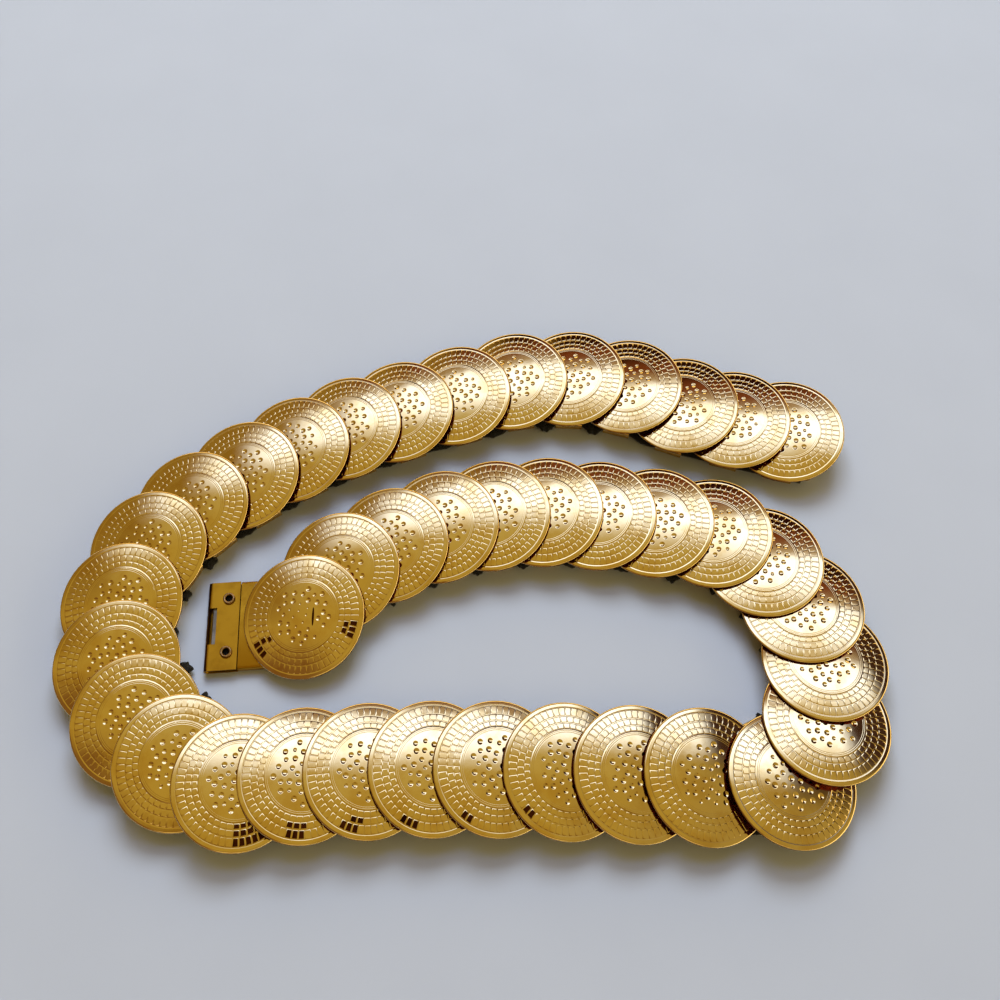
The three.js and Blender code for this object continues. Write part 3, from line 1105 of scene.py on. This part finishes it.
@dataclass
class Studio:
    """Plain pale floor, a soft sky in patches, one large softbox behind the belt, the camera."""

    floor_size: float = 6.0
    lens: float = 39.38
    pitch: float = 31.95  # degrees from straight down
    place: tuple[float, float, float] = (9.75, -123.14, 340.3)
    shift: float = -0.167
    window_size: tuple[float, float] = (1.5, 0.9)
    window_distance: float = 2.3
    window_zenith: float = 47.0  # degrees from straight up
    window_power: float = 48.0
    window_colour: tuple[float, float, float] = (0.86, 0.94, 1.0)
    sky_light: tuple[float, float, float] = (0.44, 0.325, 0.07)
    patches: tuple[Patch, ...] = (
        Patch((0.16, 0.07, 0.008), back=(-10, -26)),
        Patch((0.85, 0.66, 0.30), back=(-27, -37)),
        Patch((0.05, 0.02, 0.01), back=(-53, -62)),
        Patch((0.50, 0.41, 0.15), back=(3, 14)),
        Patch((0.38, 0.29, 0.09), side=(13, 30)),
        Patch((1.65, 2.0, 3.3), back=(13.5, 25), side=(44, 22)),
        Patch((0.44, 0.37, 0.32), back=(31, 35)),
        Patch((0.18, 0.055, 0.022), back=(34, 40)),
        Patch((0.02, 0.004, 0.003), back=(40, 46)),
        Patch((0.28, 0.18, 0.035), back=(-6, 8), side=(-16, -34)),
        Patch((0.05, 0.025, 0.02), back=(6, 20), side=(26, 34)),
        Patch((0.2, 0.105, 0.03), back=(-2, -16), side=(-6, -20)),
        Patch((1.9, 1.5, 0.8), back=(55, 65)),
        Patch((0.05, 0.018, 0.015), side=(-62, -72)),
        Patch((2.3, 1.9, 1.1), side=(55, 66)),
    )
    horizon: tuple[float, float] = (0.2, 0.1)  # height of a direction where it starts and is full
    horizon_light: tuple[float, float, float] = (0.27, 0.21, 0.10)

    def floor(self) -> None:
        """Lay the floor."""
        bm = bmesh.new()
        bmesh.ops.create_grid(bm, x_segments=1, y_segments=1, size=self.floor_size / 2)
        mesh = store(bm, "floor", smooth=False)
        mesh.materials.append(PaleFloor().material())
        floor = add_object("floor", mesh)

    def sky(self) -> None:
        """Shade the soft sky by direction, in angles from straight up."""
        world = bpy.data.worlds.new("studio")
        bpy.context.scene.world = world
        world.use_nodes = True
        tree = world.node_tree
        tree.nodes.clear()
        way = add_node(tree, "ShaderNodeTexCoord").outputs["Generated"]
        axes = add_node(tree, "ShaderNodeSeparateXYZ", inputs={0: way}).outputs
        back, side = (
            add_node(
                tree, "ShaderNodeMath", {"operation": "ARCTAN2"}, {0: axes[axis], 1: axes["Z"]}
            ).outputs[0]
            for axis in ("Y", "X")
        )
        light: Any = (*self.sky_light, 1)
        for patch in self.patches:
            share: Any = 1.0
            for angle, bound in ((back, patch.back), (side, patch.side)):
                if bound:
                    start, end = (math.radians(lean) for lean in bound)
                    share = product(tree, ease(tree, angle, start, end), share)
            light = blend(tree, share, light, (*patch.light, 1))
        low = ease(tree, axes["Z"], *self.horizon)
        light = blend(tree, low, light, (*self.horizon_light, 1))
        ground = add_node(tree, "ShaderNodeBackground", inputs={"Color": light, "Strength": 1.0})
        add_node(tree, "ShaderNodeOutputWorld", inputs={"Surface": ground.outputs[0]})

    def window(self) -> None:
        """Hang one large softbox low behind the belt, for the shadows in front of it."""
        data = bpy.data.lights.new("softbox", "AREA")
        data.shape = "RECTANGLE"
        data.size, data.size_y = self.window_size
        data.energy = self.window_power
        data.color = self.window_colour
        window = add_object("softbox", data)
        lean = Matrix.Rotation(-math.radians(self.window_zenith), 4, "X")
        window.matrix_world = lean @ Matrix.Translation((0, 0, self.window_distance))
        window.visible_glossy = False

    def camera(self) -> None:
        """Set the camera."""
        data = bpy.data.cameras.new("camera")
        data.lens = self.lens
        data.sensor_width = 36
        data.shift_y = self.shift
        data.clip_start = 0.01
        camera = add_object("camera", data)
        camera.location = [value * MM for value in self.place]
        camera.rotation_euler = (math.radians(self.pitch), 0, 0)
        bpy.context.scene.camera = camera
        bpy.context.scene.view_settings.view_transform = "Standard"


# ---- the belt


def plates() -> dict[str, Material]:
    """Make every metal finish, by the place that it is for."""
    # The polished plate of the faces, and the duller and darker metals beside it: name, colour,
    # second cloud colour and recess colour, roughness, its spread and the depth of the peel. The
    # underside, dark and edge rows also carry painted light and shade.
    rows: dict[str, tuple[Any, ...]] = {
        "face": (),
        # underside: dull metal whose red tone is painted bounce light between the gold discs
        "underside": ("brass_underside_dull_painted_red_bounce", "#6A2E26", "#54201A", "#2E1410", 0.4, 0.15),
        "sleeve": ("gold_plate_sheet", "#EBC374", "#D8A654", "#9A6A30", 0.22, 0.03, 0.0015),
        "clasp": ("gold_plate_clasp", "#BC8C22", "#AB7C1C", "#9A6A30", 0.34, 0.08, 0.0015),
        "bar": ("spring_steel_nickelled", "#9C9A90", "#807D74", "#9A6A30", 0.4, 0.15, 0.001),
        "eyelet": ("eyelet_brass_rolled", "#A8875A", "#6E5536", "#9A6A30", 0.2),
        # dark finish: painted reflection on blocks and on the clasp's fold, painted shade in the
        # slit
        "worn_and_painted_shade": ("plate_worn_and_painted_shade", "#52280F", "#240C08", "#180805", 0.25, 0.2),
        # edge: dull cut edge, darkened as a painted dark outline
        "edge": ("brass_cut_edge_dull_painted_dark_line", "#7A4A2C", "#5A3018", "#2A1008", 0.3, 0.15),
    }
    return {place: GoldPlate(*row).material() for place, row in rows.items()}


def dress_discs(
    spots: list[Spot], disc: StampedDisc, end_sleeve: Sleeve, plate: dict[str, Material]
) -> None:
    """Set every disc down where it lies.

    Args:
        spots: Where the discs lie.
        disc: The pressed pattern and its sizes.
        end_sleeve: The first disc's sleeve.
        plate: The metal finishes.
    """
    pressed, pressed_end = disc.pattern(), disc.pattern(slit=True)
    drift = 0.0
    for i, spot in enumerate(spots):
        node = f"disc_{i + 1:02d}"
        if i == 0:
            mesh = disc.piece(1, pressed_end, spot, end_sleeve, -spot.heading)
            tube = plate["clasp"]
        else:
            mesh = disc.piece(i + 1, pressed, spot, disc.sleeve, i * disc.step_turn)
            tube = plate["sleeve"]
        finishes = [plate["face"], plate["underside"], tube, plate["worn_and_painted_shade"], plate["edge"]]
        piece = show(mesh, finishes, "gold", node)
        low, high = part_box(node)
        own = [Vector(corner) for corner in piece.bound_box]
        middle = sum(own, Vector()) / 8
        drift = max(drift, (middle - (low + high) / 2).length)
    log.info("discs lie within %.2f mm of the frame's", drift / MM)


def dress_elastic(gates: list[Gate], elastic: ElasticBand) -> None:
    """Lay the elastic through the gates of the sleeves."""
    weave = ElasticWeave().material()
    cloth = show(elastic.piece(gates), [weave], "elastic", "elastic_band")
    solid = cloth.modifiers.new("thickness", "SOLIDIFY")
    solid.thickness = elastic.thickness * MM
    solid.offset = 0


def dress_clasp(first: Spot, clasp: Clasp, plate: dict[str, Material]) -> None:
    """Dress the clasp plate by the first disc, its bar and its eyelets, and the hook plate."""
    gold, worn_and_painted_shade, bar, sleeve = (plate[use] for use in ("clasp", "worn_and_painted_shade", "bar", "sleeve"))
    fold = clasp.dressed("clasp_plate", "folded_clasp_plate", clasp.sheet_round)
    # the second finish paints the dark reflection on the clasp's fold
    show(fold, [gold, worn_and_painted_shade], "clasp_gold", "clasp_plate")
    spring = clasp.dressed("clasp_spring_bar", "spring_bar", clasp.bar_round)
    show(spring, [bar, bar], "bar_steel", "clasp_spring_bar")
    for i, place in enumerate(clasp.rivet_places(first), 1):
        eyelet = clasp.eyelet(f"eyelet_{i}", place)
        show(eyelet, [plate["eyelet"]], "rivet_brass", f"clasp_rivet_{i}")
    hook = clasp.dressed("hook_plate", "folded_hook_plate", clasp.sheet_round)
    show(hook, [sleeve, sleeve], "gold", "hook_plate")


def main() -> None:
    """Build the studio and every piece of the belt."""
    logging.basicConfig(level=logging.INFO, format="%(name)s %(message)s")
    studio = Studio()
    studio.camera()
    studio.floor()
    studio.sky()
    studio.window()

    plate = plates()
    spots = BeltLayout().spots()
    disc, clasp, elastic = StampedDisc(), Clasp(), ElasticBand()
    end_sleeve = clasp.end_sleeve(spots[0], disc.sleeve)
    dress_discs(spots, disc, end_sleeve, plate)
    fold = clasp.fold(spots[0])
    dress_elastic(elastic.gates(fold, clasp.heading, spots, end_sleeve, disc.sleeve), elastic)
    dress_clasp(spots[0], clasp, plate)


if __name__ == "__main__":
    main()
